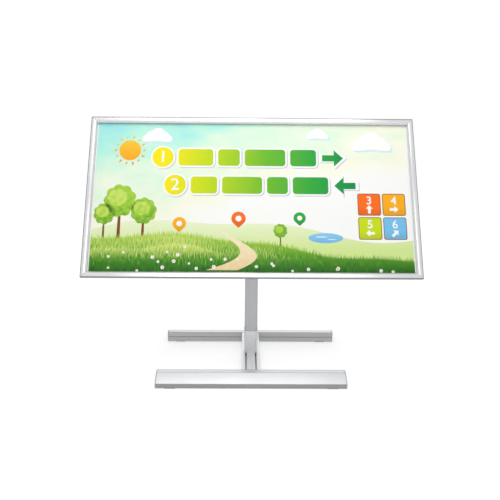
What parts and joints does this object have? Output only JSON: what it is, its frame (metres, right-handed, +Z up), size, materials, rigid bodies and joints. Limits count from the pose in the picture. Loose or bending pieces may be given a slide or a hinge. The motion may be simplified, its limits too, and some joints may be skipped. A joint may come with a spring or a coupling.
{
  "type": "floor standing directory sign",
  "caption": "Wide snap-frame sign panel, tilted back on a single square post, standing on an H base of sloped extruded feet and a slotted beam.",
  "frame": {"origin": "on the floor, under the post's axis, at the middle of the base", "axes": "+X to the viewer's right along the feet, -Y towards the front where the panel faces, +Z up along the post"},
  "size_m": [1.2, 0.446, 0.9509],
  "materials": {
    "foot_aluminium": "satin anodised, drawn lines along the extrusion",
    "cap_plastic": "fine moulded grain, silver grey",
    "pad_rubber": "matt black rubber",
    "beam_aluminium": "satin anodised, drawn lines along the extrusion",
    "screw_steel": "zinc plated steel",
    "washer_steel": "zinc plated steel",
    "post_aluminium": "satin anodised, drawn lines along the post",
    "head_casting": "fine cast skin, tumbled",
    "bracket_steel": "fine silver powder coat",
    "rail_aluminium": "mill finish with drawn lines",
    "plug_plastic": "matt black",
    "panel_board": "white foamed board with a fine grain",
    "poster_paper": "printed sheet: pale sky, green hill, plain panels",
    "clear_sheet": "clear anti-glare plastic sheet",
    "frame_aluminium": "mill finish extrusion",
    "key_zinc": "stamped zinc plated steel",
    "cover_aluminium": "bright satin anodised, drawn lines along the bar",
    "knob_plastic": "black moulded grip",
    "insert_brass": "turned brass"
  },
  "bodies": {
    "stand": {"front_foot": "foot_aluminium", "rear_foot": "foot_aluminium", "front_foot_cap_left": "cap_plastic", "front_foot_cap_right": "cap_plastic", "rear_foot_cap_left": "cap_plastic", "rear_foot_cap_right": "cap_plastic", "foot_pads": "pad_rubber", "base_beam": "beam_aluminium", "beam_screws": "screw_steel", "beam_washers": "washer_steel", "slot_nuts": "screw_steel", "post_socket": "post_aluminium", "socket_screws": "screw_steel", "post_clamp_screws": "screw_steel", "post": "post_aluminium", "post_head": "head_casting", "head_screws": "screw_steel", "pivot_bolt": "screw_steel", "pivot_sleeve": "washer_steel", "pivot_washers": "washer_steel", "pivot_nut": "screw_steel"},
    "panel": {"tilt_bracket": "bracket_steel", "bracket_screws": "screw_steel", "lock_stud": "screw_steel", "back_rail_upper": "rail_aluminium", "back_rail_lower": "rail_aluminium", "rail_end_plugs": "plug_plastic", "rail_screws": "screw_steel", "back_panel": "panel_board", "poster_sheet": "poster_paper", "clear_cover_sheet": "clear_sheet", "frame_profile_bottom": "frame_aluminium", "frame_profile_right": "frame_aluminium", "frame_profile_top": "frame_aluminium", "frame_profile_left": "frame_aluminium", "corner_keys": "key_zinc", "corner_key_screws": "screw_steel", "snap_springs": "screw_steel"},
    "bottom_cover": {"snap_cover_bottom": "cover_aluminium"},
    "right_cover": {"snap_cover_right": "cover_aluminium"},
    "top_cover": {"snap_cover_top": "cover_aluminium"},
    "left_cover": {"snap_cover_left": "cover_aluminium"},
    "washer": {"lock_washer": "washer_steel"},
    "knob": {"lock_knob": "knob_plastic", "lock_knob_insert": "insert_brass"}
  },
  "joints": [
    {"name": "panel_tilt", "type": "hinge", "parent": "stand", "child": "panel", "pos_m": [0, 0, 0.66], "axis": [-1, 0, 0], "range_deg": [-31.5, 43.5]},
    {"name": "bottom_cover_snap", "type": "hinge", "parent": "panel", "child": "bottom_cover", "pos_m": [0, -0.20237, 0.43023], "axis": [1, 0, 0], "range_deg": [0, 95]},
    {"name": "right_cover_snap", "type": "hinge", "parent": "panel", "child": "right_cover", "pos_m": [0.59665, -0.04476, 0.68743], "axis": [0, 0.5225, 0.8526], "range_deg": [0, 95]},
    {"name": "top_cover_snap", "type": "hinge", "parent": "panel", "child": "top_cover", "pos_m": [0, 0.11285, 0.94463], "axis": [-1, 0, 0], "range_deg": [0, 95]},
    {"name": "left_cover_snap", "type": "hinge", "parent": "panel", "child": "left_cover", "pos_m": [-0.59665, -0.04476, 0.68743], "axis": [0, -0.5225, -0.8526], "range_deg": [0, 95]},
    {"name": "lock_washer_slide", "type": "slide", "parent": "panel", "child": "washer", "axis": [1, 0, 0], "range_m": [0, 0.00125]},
    {"name": "lock_knob_turn", "type": "hinge", "parent": "washer", "child": "knob", "pos_m": [0, 0.02728, 0.64328], "axis": [1, 0, 0], "range_deg": [0, 360]}
  ],
  "couplings": [
    {"joint": "lock_knob_turn", "follows": "lock_washer_slide", "rad_per_m": 5026.5}
  ]
}
